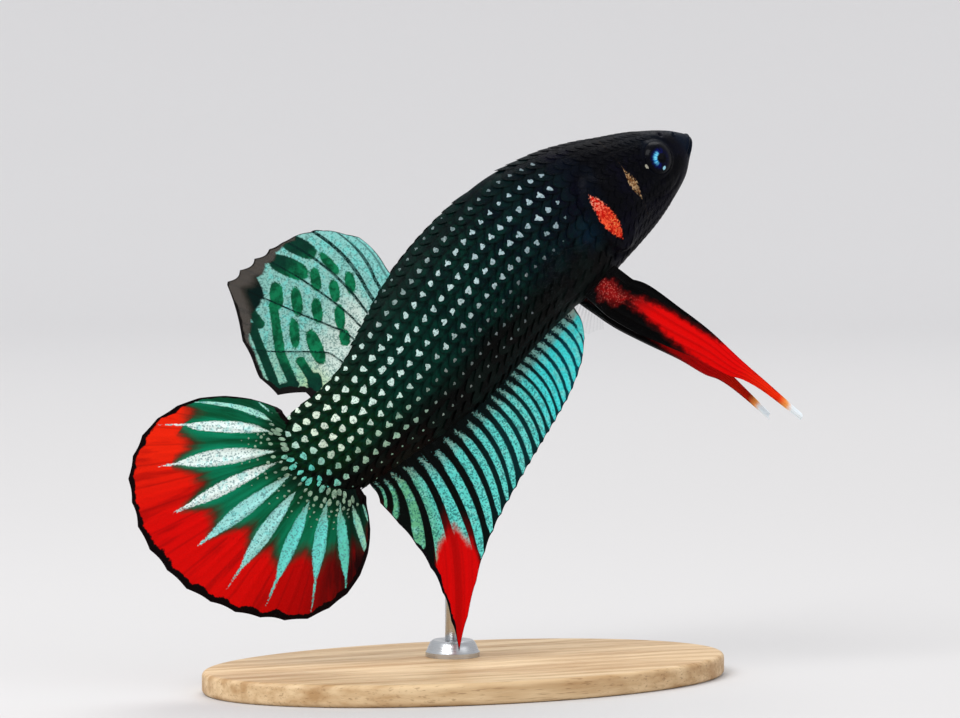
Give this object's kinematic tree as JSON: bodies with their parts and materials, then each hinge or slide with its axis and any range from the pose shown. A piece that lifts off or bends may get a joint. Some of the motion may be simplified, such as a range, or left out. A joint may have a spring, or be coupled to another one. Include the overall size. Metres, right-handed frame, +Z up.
{
  "type": "betta fish model on a display stand",
  "caption": "Life-size still model of a male wild-type betta fish with spread fins, held nose-up over a flat oval base by one leaning rod.",
  "frame": {"origin": "centre of the flat underside of the oval display base", "axes": "+X along the base towards the side the fish heads for, +Y to the fish's left, +Z up"},
  "size_m": [0.0633, 0.028, 0.0504],
  "materials": {
    "dark_skin": "satin blue-black painted skin with a faint purple and teal sheen",
    "spotted_scales": "satin black-green painted scales, each with one mint-white spot",
    "eye": "polished black pupil in a deep blue iris under a clear glossy cornea",
    "mint_fin": "pale mint membrane with rows of dark green spots between thin dark rays",
    "turquoise_fin": "turquoise stripes between black rays, a black margin and a red drawn-out tip",
    "red_fin": "red outer half with mint streaks on dark green and a thin black margin",
    "pelvic_red": "red blade with black edges and a white tip",
    "clear_fin": "thin clear grey membrane with fine rays",
    "pale_wood": "fine-sanded pale hardwood with a satin oil finish",
    "steel": "brushed steel"
  },
  "bodies": {
    "root": {"head": "dark_skin", "gill_cover_right": "dark_skin", "gill_cover_left": "dark_skin", "trunk": "spotted_scales", "tail": "spotted_scales", "eye_right": "eye", "eye_left": "eye", "dorsal_fin": "mint_fin", "anal_fin": "turquoise_fin", "caudal_fin": "red_fin", "pelvic_fin_right": "pelvic_red", "pelvic_fin_left": "pelvic_red", "pectoral_fin_right": "clear_fin", "pectoral_fin_left": "clear_fin", "stand_base": "pale_wood", "stand_rod": "steel", "stand_collar": "steel"}
  },
  "joints": []
}
